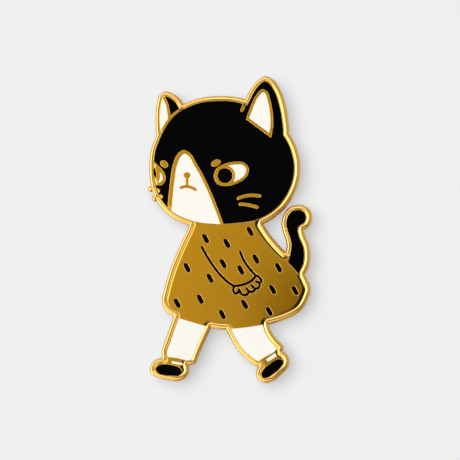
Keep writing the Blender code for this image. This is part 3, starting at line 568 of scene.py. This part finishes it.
class Relief:
    """The plate's outlines, triangles and levels, which the plate and every enamel share."""

    def __init__(self, settings):
        self.rim = (settings.rim_width / MM, settings.rim_depth / MM)
        self.widest = self.rim[0] * (1 + settings.rim_lean)
        self.edge = (settings.edge_width / MM, settings.edge_depth / MM)
        loops = [smoothed(loop) for loop in front_loops()]
        self.outside, self.cells = loops[0], loops[1:]
        self.silhouette, self.walls = Outlines([self.outside]), Outlines(self.cells)
        rows = rows_for([self.outside], self.silhouette, self.widest, RIM_ROWS, self.clear_of_cells)
        rows += rows_for(self.cells, self.walls, self.edge[0], EDGE_ROWS, self.inside_plate)
        self.points, self.triangles, owners = triangulated(loops, rows)
        self.in_cell = [len([o for o in owner if o > 0]) % 2 == 1 for owner in owners]
        from_outside, facing = self.silhouette.nearest(self.points)
        from_cells = self.walls.distance(self.points)
        width = self.rim[0] * (1 + settings.rim_lean * (facing @ WIDE_SIDE))
        fall = rounding(from_outside, width, self.rim[1]) + rounding(from_cells, *self.edge)
        self.levels = FRONT + fall
        # the cell edges' share of the rim's polish and paler painted sheen
        polish_and_sheen = (1 - from_cells / self.edge[0]) * EDGE_SHEEN_SHARE
        self.on_rim = np.clip(np.maximum((1 - from_outside / width) / RIM_FADE, polish_and_sheen), 0, 1)
        # the outermost strip, which the plate's material paints darker as shade
        self.in_edge_shade = np.clip(1 - from_outside / EDGE_SHADE_STRIP, 0, 1)
        self.enamel_level = FRONT + settings.enamel_drop / MM

    def clear_of_cells(self, row):
        """Whether each point of a row of the rim lies on metal."""
        return (self.walls.distance(row) > ROW_CLEARANCE) & ~self.walls.holds(row)

    def inside_plate(self, row):
        """Whether each point of a row round a cell is clear of the plate's outside."""
        return self.silhouette.distance(row) > ROW_CLEARANCE

    def metal(self):
        """Front triangles of the metal, the cells' floors and their walls, as points and faces."""
        points = [(x, y, z) for (x, z), y in zip(self.points, self.levels)]
        floors, faces = {}, []

        def floor(v):
            if v not in floors:
                floors[v] = len(points)
                points.append((self.points[v][0], CELL_FLOOR, self.points[v][1]))
            return floors[v]

        sides = {}
        for triangle, sunk in zip(self.triangles, self.in_cell):
            faces.append([floor(v) for v in triangle] if sunk else list(triangle))
            for a, b in sides_of(triangle):
                sides.setdefault((min(a, b), max(a, b)), set()).add(sunk)
        for (a, b), sunk in sides.items():
            if len(sunk) == 2:
                faces.append([a, b, floor(b), floor(a)])
        return points, faces

    def fillings(self):
        """The triangles of each separate cell."""
        cell = [i for i, sunk in enumerate(self.in_cell) if sunk]
        sides = {}
        for i in cell:
            triangle = self.triangles[i]
            for a, b in sides_of(triangle):
                sides.setdefault((min(a, b), max(a, b)), []).append(i)
        near = {i: [] for i in cell}
        for found in sides.values():
            if len(found) == 2:
                near[found[0]].append(found[1])
                near[found[1]].append(found[0])
        groups, left = [], set(cell)
        while left:
            group, edge = [], [left.pop()]
            while edge:
                here = edge.pop()
                group.append(here)
                fresh = [n for n in near[here] if n in left]
                left.difference_update(fresh)
                edge.extend(fresh)
            groups.append(group)
        return groups


def add_plate(relief, material):
    """The struck plate: rounded rim, open cells, plain back with a seat for each post."""
    points, faces = relief.metal()
    rim = list(relief.on_rim) + [0.0] * (len(points) - len(relief.on_rim))
    side = list(relief.in_edge_shade) + [0.0] * (len(points) - len(relief.in_edge_shade))
    behind = [0.0] * len(points)
    seats = [circle_loop(height, SEAT_RADIUS) for height in POST_HEIGHTS.values()]
    rows = rows_for([relief.outside], relief.silhouette, BACK_ROUNDING, BACK_ROWS, lambda row: True)
    spots, triangles, owners = triangulated([relief.outside] + seats, rows)
    fall = rounding(relief.silhouette.distance(spots), BACK_ROUNDING, BACK_ROUNDING)
    first = len(points)
    points += [(x, BACK - drop, z) for (x, z), drop in zip(spots, fall)]
    sunk, sides = {}, {}
    for triangle, owner in zip(triangles, owners):
        in_seat = any(o > 0 for o in owner)
        ring = []
        for v in triangle:
            if in_seat and v not in sunk:
                sunk[v] = len(points)
                points.append((spots[v][0], BACK - SEAT_DEEP, spots[v][1]))
            ring.append(sunk[v] if in_seat else first + v)
        faces.append(ring[::-1])
        for a, b in sides_of(triangle):
            sides.setdefault((min(a, b), max(a, b)), set()).add(in_seat)
    for (a, b), found in sides.items():
        if len(found) == 2:
            faces.append([first + a, first + b, sunk[b], sunk[a]])
    top, foot = FRONT + relief.rim[1], BACK - BACK_ROUNDING
    wall = len(points)
    for x, z in relief.outside:
        points += [(x, top, z), (x, foot, z)]
    count = len(relief.outside)
    for k in range(count):
        a, b = wall + 2 * k, wall + 2 * ((k + 1) % count)
        faces.append([a, b, b + 1, a + 1])
    behind += [1.0] * (wall - first) + [0.0, 1.0] * count
    # the side wall takes the rim's polish and, over it, the darker gold of painted shade
    rim += [0.0] * (wall - first) + [1.0, 1.0] * count
    side += [0.0] * (wall - first) + [1.0, 1.0] * count
    attributes = {"rim": rim, "back": behind, "side": side}
    plate = sheet_object("struck_plate", points, faces, material, attributes)
    take_place(plate, "base_plate", "badge")


def add_enamels(relief, black, white):
    """One filling for each cell, which stands for the enamel node in the same place."""
    middles = {name: sum(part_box(name), Vector()) / 2 for name in ENAMELS}
    sizes = {name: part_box(name)[1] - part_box(name)[0] for name in ENAMELS}
    waiting = set(ENAMELS)
    for group in relief.fillings():
        used = sorted({v for i in group for v in relief.triangles[i]})
        spots = relief.points[used] * MM
        low, high = spots.min(0), spots.max(0)
        middle, size = (low + high) / 2, high - low

        def mismatch(name):
            """How much a node's place and size differ from the cell's."""
            there, span = middles[name], sizes[name]
            return (abs(there.x - middle[0]) + abs(there.z - middle[1])
                    + abs(span.x - size[0]) + abs(span.z - size[1]))

        name = min(waiting, key=mismatch)
        if mismatch(name) > MOST_MISMATCH * MM:
            raise RuntimeError(f"no enamel node matches the cell at {tuple(middle)}")
        waiting.discard(name)
        number = {v: k for k, v in enumerate(used)}
        count = len(used)
        points = [(relief.points[v][0], relief.enamel_level, relief.points[v][1]) for v in used]
        points += [(relief.points[v][0], CELL_FLOOR, relief.points[v][1]) for v in used]
        faces, sides = [], {}
        for i in group:
            triangle = [number[v] for v in relief.triangles[i]]
            faces += [triangle, [v + count for v in triangle[::-1]]]
            for a, b in sides_of(triangle):
                sides.setdefault((min(a, b), max(a, b)), []).append((a, b))
        for found in sides.values():
            if len(found) == 1:
                a, b = found[0]
                faces.append([b, a, a + count, b + count])
        is_white = name.endswith("white")
        piece = sheet_object(f"{name}_fill", points, faces, white if is_white else black)
        take_place(piece, name, "badge")
    if waiting:
        raise RuntimeError(f"no cell was found for {sorted(waiting)}")


# ---- Turned and bent pieces of the back ----


def arc(centre, radius, start, end, steps=6):
    """Points of (radius, y) along a circular corner, by angles in degrees."""
    angles = [math.radians(start + (end - start) * k / steps) for k in range(steps + 1)]
    return [(centre[0] + radius * math.cos(a), centre[1] + radius * math.sin(a)) for a in angles]


def lathe(name, profile, steps=96):
    """A closed section of (radius, y) spun about the Y axis."""
    bpy.ops.object.select_all(action="DESELECT")
    bpy.ops.mesh.primitive_circle_add(vertices=3, radius=MM)
    obj = bpy.context.object
    obj.name = obj.data.name = name
    bpy.ops.object.mode_set(mode="EDIT")
    bpy.ops.mesh.select_all(action="SELECT")
    bpy.ops.mesh.merge(type="CENTER")
    here = Vector((0, 0, 0))
    for number, (radius, y) in enumerate(profile):
        there = Vector((radius, y, 0)) * MM
        if number == 0:
            bpy.ops.transform.translate(value=there - here)
        else:
            bpy.ops.mesh.extrude_vertices_move(TRANSFORM_OT_translate={"value": there - here})
        here = there
    if profile[0][0] > 0:
        start = Vector((profile[0][0], profile[0][1], 0)) * MM
        bpy.ops.mesh.extrude_vertices_move(TRANSFORM_OT_translate={"value": start - here})
    bpy.ops.mesh.select_all(action="SELECT")
    bpy.ops.mesh.spin(steps=steps, angle=2 * math.pi, center=(0, 0, 0), axis=(0, 1, 0))
    bpy.ops.mesh.select_all(action="SELECT")
    bpy.ops.mesh.remove_doubles(threshold=DOUBLES)
    bpy.ops.mesh.normals_make_consistent(inside=False)
    bpy.ops.object.mode_set(mode="OBJECT")
    return obj


def joined(obj, tool, operation):
    """A Boolean with a tool that is used up."""
    modifier = obj.modifiers.new(operation.title(), "BOOLEAN")
    modifier.operation = operation
    modifier.solver = "EXACT"
    modifier.object = tool
    alone(obj)
    bpy.ops.object.modifier_apply(modifier=modifier.name)
    bpy.data.objects.remove(tool)


def rounded_edges(obj, width, segments=3):
    """Rounds an object's sharp edges by a width in millimetres."""
    modifier = obj.modifiers.new("Rounded", "BEVEL")
    modifier.width = width * MM
    modifier.segments = segments
    modifier.limit_method = "ANGLE"
    modifier.angle_limit = math.radians(40)
    modifier.use_clamp_overlap = True
    alone(obj)
    bpy.ops.object.modifier_apply(modifier=modifier.name)


def copy_at(obj, name, height, material):
    """A copy with its own mesh, its place in the mesh, at a post's height."""
    data = obj.data.copy()
    data.name = name
    for vert in data.vertices:
        vert.co.z += height * MM
    data.materials.clear()
    data.materials.append(material)
    piece = new_object(name, data)
    smooth(piece)
    return piece


def set_on_posts(first, finish, colour, roughness, node, body, slot):
    """Copies of a turned piece at both posts, its metal's rings centred there. The first is used up."""
    for name, height in POST_HEIGHTS.items():
        metal = spun_metal(f"{finish}_{name}", colour, height, *roughness)
        piece = copy_at(first, f"{name}_{first.name}", height, metal)
        take_place(piece, f"{name}_{node}", body.format(name))
    bpy.data.objects.remove(first)


def post_section():
    """The flange, the grooved needle and its ground point, with turned corners."""
    section = [(0.0, -0.13), (2.5, -0.13)]
    section += arc((2.38, 0.28), 0.12, 0, 90)
    section += arc((0.80, 0.65), 0.25, 270, 180)
    groove = ((NEEDLE_RADIUS, 0.42), (NEEDLE_RADIUS - 0.015, 0.36), (GROOVE_RADIUS + 0.015, 0.22),
              (GROOVE_RADIUS, 0.12))
    middle = FIRST_GROOVE
    while middle + 0.37 < GROOVES_END:
        section += [(radius, middle - away) for radius, away in groove]
        section += [(radius, middle + away) for radius, away in reversed(groove)]
        middle += GROOVE_PITCH
    section += [(NEEDLE_RADIUS, 6.82), (0.54, 6.92), (0.10, 7.86), (0.06, 7.94), (0.0, 7.99)]
    return section


def disc_section():
    """The disc of the clutch, whose rim is rolled over the foot of the shell."""
    base, top = CLUTCH_BASE, CLUTCH_BASE + 1.17
    section = [(0.79, base), (5.40, base)]
    section += arc((5.35, base + 0.30), 0.30, 270, 360)[1:]
    section += arc((5.32, top - 0.33), 0.33, 0, 90)
    section += arc((4.98, top - 0.175), 0.172, 90, 270)
    section += [(5.20, top - 0.35), (5.29, top - 0.40), (5.29, base + 0.45), (5.20, base + BRASS_SHEET)]
    section += [(0.79, base + BRASS_SHEET), (0.75, base + 0.31), (0.75, base + 0.04)]
    return section


def shell_section():
    """The domed shell with its out-turned foot."""
    foot, wall = CLUTCH_BASE + 0.41, CLUTCH_BASE + 3.0
    lip = foot + BRASS_SHEET
    section = [(5.20, foot), (5.235, foot + 0.04), (5.235, foot + 0.31), (5.20, lip)]
    section += [(4.62, lip), (4.52, lip + 0.06), (4.50, lip + 0.14)]
    section += dome(4.5, wall, CLUTCH_TOP)
    section += dome(4.15, wall, CLUTCH_TOP - BRASS_SHEET)[::-1]
    section += [(4.15, foot + 0.08), (4.19, foot + 0.02), (4.25, foot)]
    return section


def dome(radius, wall, top, steps=14):
    """Points of (radius, y) from the top of the straight wall to the crown."""
    quarter = [math.pi / 2 * k / steps for k in range(steps)]
    return [(radius * math.cos(a), wall + (top - wall) * math.sin(a)) for a in quarter] + [(0.0, top)]


def add_nubs(disc):
    """Small points in a ring that bite the cloth."""
    for number in range(NUBS):
        angle = 2 * math.pi * (number + 0.5) / NUBS
        place = Vector((NUB_RING * math.cos(angle), NUB_MIDDLE, NUB_RING * math.sin(angle))) * MM
        bpy.ops.object.select_all(action="DESELECT")
        bpy.ops.mesh.primitive_cone_add(
            vertices=20, radius1=NUB_FOOT * MM, radius2=NUB_TIP * MM, depth=NUB_HEIGHT * MM, location=place,
            rotation=(math.pi / 2, 0, 0))
        cone = bpy.context.object
        bpy.ops.object.mode_set(mode="EDIT")
        bpy.ops.mesh.select_all(action="SELECT")
        bpy.ops.mesh.bevel(offset=NUB_ROUNDING * MM, segments=2)
        bpy.ops.object.mode_set(mode="OBJECT")
        joined(disc, cone, "UNION")


def cut_slots(shell):
    """The slot through the shell that the wings move in."""
    bpy.ops.object.select_all(action="DESELECT")
    bpy.ops.mesh.primitive_cube_add(size=MM, location=(0, SLOT_MIDDLE * MM, 0))
    slot = bpy.context.object
    bpy.ops.object.mode_set(mode="EDIT")
    bpy.ops.mesh.select_all(action="SELECT")
    bpy.ops.transform.resize(value=SLOT)
    bpy.ops.object.mode_set(mode="OBJECT")
    joined(shell, slot, "DIFFERENCE")
    rounded_edges(shell, 0.05, 2)


# ---- Operators ----


def pin():
    """The pin's settings."""
    return bpy.context.scene.enamel_pin


class PIN_OT_front(bpy.types.Operator):
    """Builds the struck plate and fills its cells with enamel"""
    bl_idname = "enamel_pin.add_front"
    bl_label = "Plate and Enamel"

    def execute(self, context):
        settings = pin()
        relief = Relief(settings)
        add_plate(relief, polished_gold_plate(
            tuple(settings.gold), tuple(settings.polish_and_sheen_gold), tuple(settings.edge_shade_gold)))
        black = hard_enamel("black_hard_enamel", tuple(settings.black), specular=0.04, polish=0.08)
        white = hard_enamel("white_hard_enamel", tuple(settings.white), specular=0.45, polish=0.16)
        add_enamels(relief, black, white)
        return {"FINISHED"}


class PIN_OT_posts(bpy.types.Operator):
    """Turns the two grooved posts with their flanges"""
    bl_idname = "enamel_pin.add_posts"
    bl_label = "Posts"

    def execute(self, context):
        first = lathe("turned_post", post_section(), 64)
        metal = ("turned_steel", tuple(pin().post), (0.16, 0.30))
        set_on_posts(first, *metal, "post", "badge", "post_steel")
        return {"FINISHED"}


class PIN_OT_discs(bpy.types.Operator):
    """Spins the clutches' discs, rolls their rims and raises the small points"""
    bl_idname = "enamel_pin.add_discs"
    bl_label = "Clutch Discs"

    def execute(self, context):
        first = lathe("rolled_disc", disc_section())
        add_nubs(first)
        metal = ("spun_brass_disc", tuple(pin().brass), (0.20, 0.36))
        set_on_posts(first, *metal, "clutch_disc", "{}_clutch", "clutch_brass")
        return {"FINISHED"}


class PIN_OT_shells(bpy.types.Operator):
    """Spins the clutches' domed shells and cuts the slots for the wings"""
    bl_idname = "enamel_pin.add_shells"
    bl_label = "Clutch Shells"

    def execute(self, context):
        first = lathe("domed_shell", shell_section())
        cut_slots(first)
        metal = ("spun_brass_shell", tuple(pin().brass), (0.18, 0.34))
        set_on_posts(first, *metal, "clutch_shell", "{}_shell", "clutch_brass")
        return {"FINISHED"}


class PIN_OT_wings(bpy.types.Operator):
    """Rounds the sheared edges of the clutches' spring wings"""
    bl_idname = "enamel_pin.add_wings"
    bl_label = "Clutch Wings"

    def execute(self, context):
        metal = spring_brass(tuple(pin().brass))
        for name in CLUTCHES:
            for side in ("left", "right"):
                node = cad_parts[f"{name}_clutch_wing_{side}"]
                piece = new_object(f"{name}_spring_wing_{side}", node.data.copy())
                alone(piece)
                bpy.ops.object.mode_set(mode="EDIT")
                bpy.ops.mesh.select_all(action="SELECT")
                bpy.ops.mesh.remove_doubles(threshold=DOUBLES)
                bpy.ops.mesh.dissolve_limited(angle_limit=math.radians(1))
                bpy.ops.object.mode_set(mode="OBJECT")
                rounded_edges(piece, 0.07)
                piece.data.materials.clear()
                piece.data.materials.append(metal)
                smooth(piece)
                take_place(piece, f"{name}_clutch_wing_{side}", f"{name}_wing_{side}")
        return {"FINISHED"}


# ---- Stage ----

# How bright the light tent is at each angle from the line of sight, for eight ways round it: 0 is the right,
# 90 is up. Its bands give the polished rim its lines of light.
SURROUND = {
    0: ((0, .52), (4.4, .50), (6, .02), (25, .02), (29, 5.5), (36, 5.5), (39, .58), (62, .54), (90, .66)),
    45: ((0, .52), (4.4, .48), (7, .10), (17, .08), (20, 3.0), (24, 3.0), (27, .52), (36, .52), (39, 2.6),
         (43, 2.6), (46, .50), (60, .48), (90, .60)),
    90: ((0, .52), (4.4, .45), (8, .1), (13, .03), (26, .03), (34, .30), (42, .50), (52, .56), (56, 2.8),
         (64, 2.8), (68, .52), (90, .56)),
    135: ((0, .52), (5, .52), (9, .58), (26, .54), (29, 2.4), (35, 2.4), (38, .50), (72, .52), (76, 2.6),
          (85, 2.6), (89, .56)),
    180: ((0, .52), (4.6, .55), (6, 3.0), (10, 3.0), (12.5, .56), (34, .56), (40, .42), (66, .42), (71, 3.6),
          (82, 3.6), (86, .56)),
    225: ((0, .52), (5, .52), (8, .62), (36, .50), (40, 2.4), (46, 2.4), (49, .50), (68, .50), (72, 4.2),
          (82, 4.2), (86, .56)),
    270: ((0, .52), (4.6, .5), (8, .32), (15, .36), (19, .38), (22, 1.9), (26, 1.9), (29, .48), (46, .42),
          (50, 2.0), (56, 2.0), (60, .42), (90, .40)),
    315: ((0, .50), (4.4, .40), (6, .02), (23, .02), (27, 1.9), (31, 1.9), (34, .28), (72, .30), (90, .42)),
}
BEHIND = ((118, .7), (128, 1.6), (146, 1.6), (156, .8), (180, .55))  # the same on every side
BRIGHTEST = 20.0
DIM_PLACE = (math.radians(2.3), 0.0, math.radians(-2.4))  # a dim corner low on the right of the light tent
DIM_INNER, DIM_OUTER, DIM_LEVEL = math.radians(0.3), math.radians(2.1), 0.12
KEY_SOFTNESS, KEY_TILT = 64, (22, 15)  # degrees; the tilt is to the left and up
FILL_SOFTNESS, FILL_TILT = 5, (0, 0)
SHEET_SIZE = 1.6  # metres
LENS, SENSOR = 150, 36
CAMERA_PLACE = (-0.44 * MM, (FRONT - 279.9) * MM, -0.07 * MM)


def sector_light(tree, angle, around, way, steps):
    """The brightness of one of the eight sectors, which fades to nothing at its neighbours."""
    ramp = add_node(tree, "ShaderNodeValToRGB", {"Fac": angle})
    while len(ramp.color_ramp.elements) < len(steps):
        ramp.color_ramp.elements.new(1.0)
    for element, (degrees, level) in zip(ramp.color_ramp.elements, steps):
        element.position = degrees / 180
        element.color = (*[level / BRIGHTEST] * 3, 1)
    off = maths(tree, "SUBTRACT", around, math.radians(way))
    off = maths(tree, "ABSOLUTE", maths(tree, "WRAP", off, math.pi, -math.pi))
    share = maths(tree, "MAXIMUM", maths(tree, "MULTIPLY_ADD", off, -4 / math.pi, 1.0), 0.0)
    return maths(tree, "MULTIPLY", ramp.outputs["Color"], share)


def light_surroundings(strength, seen):
    """Bands of light all round the line of sight, and a plain pale ground that only the camera sees."""
    world = bpy.data.worlds.new("studio")
    bpy.context.scene.world = world
    world.use_nodes = True
    tree = world.node_tree
    tree.nodes.clear()
    way = add_node(tree, "ShaderNodeTexCoord").outputs["Generated"]
    split = add_node(tree, "ShaderNodeSeparateXYZ", {"Vector": way})
    ahead = maths(tree, "MULTIPLY", split.outputs["Y"], -1.0)
    angle = maths(tree, "DIVIDE", maths(tree, "ARCCOSINE", ahead), math.pi)
    around = maths(tree, "ARCTAN2", split.outputs["Z"], split.outputs["X"])
    total = 0.0
    for direction, steps in SURROUND.items():
        light = sector_light(tree, angle, around, direction, steps + BEHIND)
        total = maths(tree, "ADD", light, total)
    flat = add_node(tree, "ShaderNodeVectorMath", {0: way, 1: (1, 0, 1)}, operation="MULTIPLY").outputs[0]
    apart = add_node(tree, "ShaderNodeVectorMath", {0: flat, 1: DIM_PLACE}, operation="DISTANCE")
    dimmed = add_node(tree, "ShaderNodeMapRange", {
        "Value": apart.outputs["Value"], "From Min": DIM_INNER, "From Max": DIM_OUTER,
        "To Min": DIM_LEVEL, "To Max": 1.0}, interpolation_type="SMOOTHSTEP").outputs["Result"]
    facing = maths(tree, "MAXIMUM", dimmed, maths(tree, "LESS_THAN", ahead, 0.0))
    level = maths(tree, "MULTIPLY", maths(tree, "MULTIPLY", total, facing), BRIGHTEST * strength)
    lit = add_node(tree, "ShaderNodeBackground", {"Color": (1, 1, 1, 1), "Strength": level})
    plain = add_node(tree, "ShaderNodeBackground", {"Color": (*seen, 1), "Strength": 1.0})
    eye = add_node(tree, "ShaderNodeLightPath").outputs["Is Camera Ray"]
    both = add_node(tree, "ShaderNodeMixShader", {0: eye, 1: lit.outputs[0], 2: plain.outputs[0]})
    add_node(tree, "ShaderNodeOutputWorld", {"Surface": both.outputs[0]})
    world.cycles_visibility.diffuse = False


def add_sun(name, strength, softness, tilt, shadow):
    """A soft lamp that lights the matt surfaces and shows in no reflection, with its tilt in degrees."""
    data = bpy.data.lights.new(name, "SUN")
    data.energy = strength
    data.angle = math.radians(softness)
    data.use_shadow = shadow
    lamp = new_object(name, data)
    left, up = (math.tan(math.radians(t)) for t in tilt)
    lamp.rotation_mode = "QUATERNION"
    lamp.rotation_quaternion = Vector((-left, -1, up)).to_track_quat("Z", "Y")
    lamp.visible_glossy = False


class PIN_OT_stage(bpy.types.Operator):
    """Puts a pale sheet behind the plate, soft light round it and the camera in front"""
    bl_idname = "enamel_pin.add_stage"
    bl_label = "Stage"

    def execute(self, context):
        settings = context.scene.enamel_pin_stage
        bpy.ops.object.select_all(action="DESELECT")
        bpy.ops.mesh.primitive_plane_add(
            size=SHEET_SIZE, location=(0, settings.sheet_gap, 0), rotation=(math.pi / 2, 0, 0))
        sheet = context.object
        sheet.name = "pale_backdrop"
        bpy.ops.object.transform_apply(location=True, rotation=True, scale=True)
        sheet.data.materials.append(pale_sheet(tuple(settings.sheet)))
        light_surroundings(settings.surroundings, tuple(settings.ground))
        add_sun("key", settings.key, KEY_SOFTNESS, KEY_TILT, True)
        add_sun("fill", settings.fill, FILL_SOFTNESS, FILL_TILT, False)
        context.scene.view_settings.view_transform = "Standard"
        data = bpy.data.cameras.new("camera")
        data.lens, data.sensor_width = LENS, SENSOR
        data.clip_start, data.clip_end = 0.01, 10
        camera = new_object("camera", data)
        camera.location = CAMERA_PLACE
        camera.rotation_euler = (math.pi / 2, 0, 0)
        context.scene.camera = camera
        return {"FINISHED"}


class PIN_PT_panel(bpy.types.Panel):
    """Lists the pin's settings and the buttons that build it"""
    bl_label = "Enamel Pin"
    bl_idname = "PIN_PT_panel"
    bl_space_type = "VIEW_3D"
    bl_region_type = "UI"
    bl_category = "Enamel Pin"

    def draw(self, context):
        for group in (context.scene.enamel_pin, context.scene.enamel_pin_stage):
            for name in group.__annotations__:
                self.layout.prop(group, name)
        for operator in OPERATORS:
            self.layout.operator(operator.bl_idname)


OPERATORS = (PIN_OT_front, PIN_OT_posts, PIN_OT_discs, PIN_OT_shells, PIN_OT_wings, PIN_OT_stage)
CLASSES = (PinSettings, StageSettings, *OPERATORS, PIN_PT_panel)


def register():
    """Adds the classes and the scene's settings."""
    for cls in CLASSES:
        bpy.utils.register_class(cls)
    bpy.types.Scene.enamel_pin = bpy.props.PointerProperty(type=PinSettings)
    bpy.types.Scene.enamel_pin_stage = bpy.props.PointerProperty(type=StageSettings)


def unregister():
    """Takes them away again."""
    del bpy.types.Scene.enamel_pin
    del bpy.types.Scene.enamel_pin_stage
    for cls in reversed(CLASSES):
        bpy.utils.unregister_class(cls)


def main():
    """Builds the pin and its stage."""
    register()
    bpy.ops.enamel_pin.add_front()
    bpy.ops.enamel_pin.add_posts()
    bpy.ops.enamel_pin.add_discs()
    bpy.ops.enamel_pin.add_shells()
    bpy.ops.enamel_pin.add_wings()
    bpy.ops.enamel_pin.add_stage()


if __name__ == "__main__":
    main()
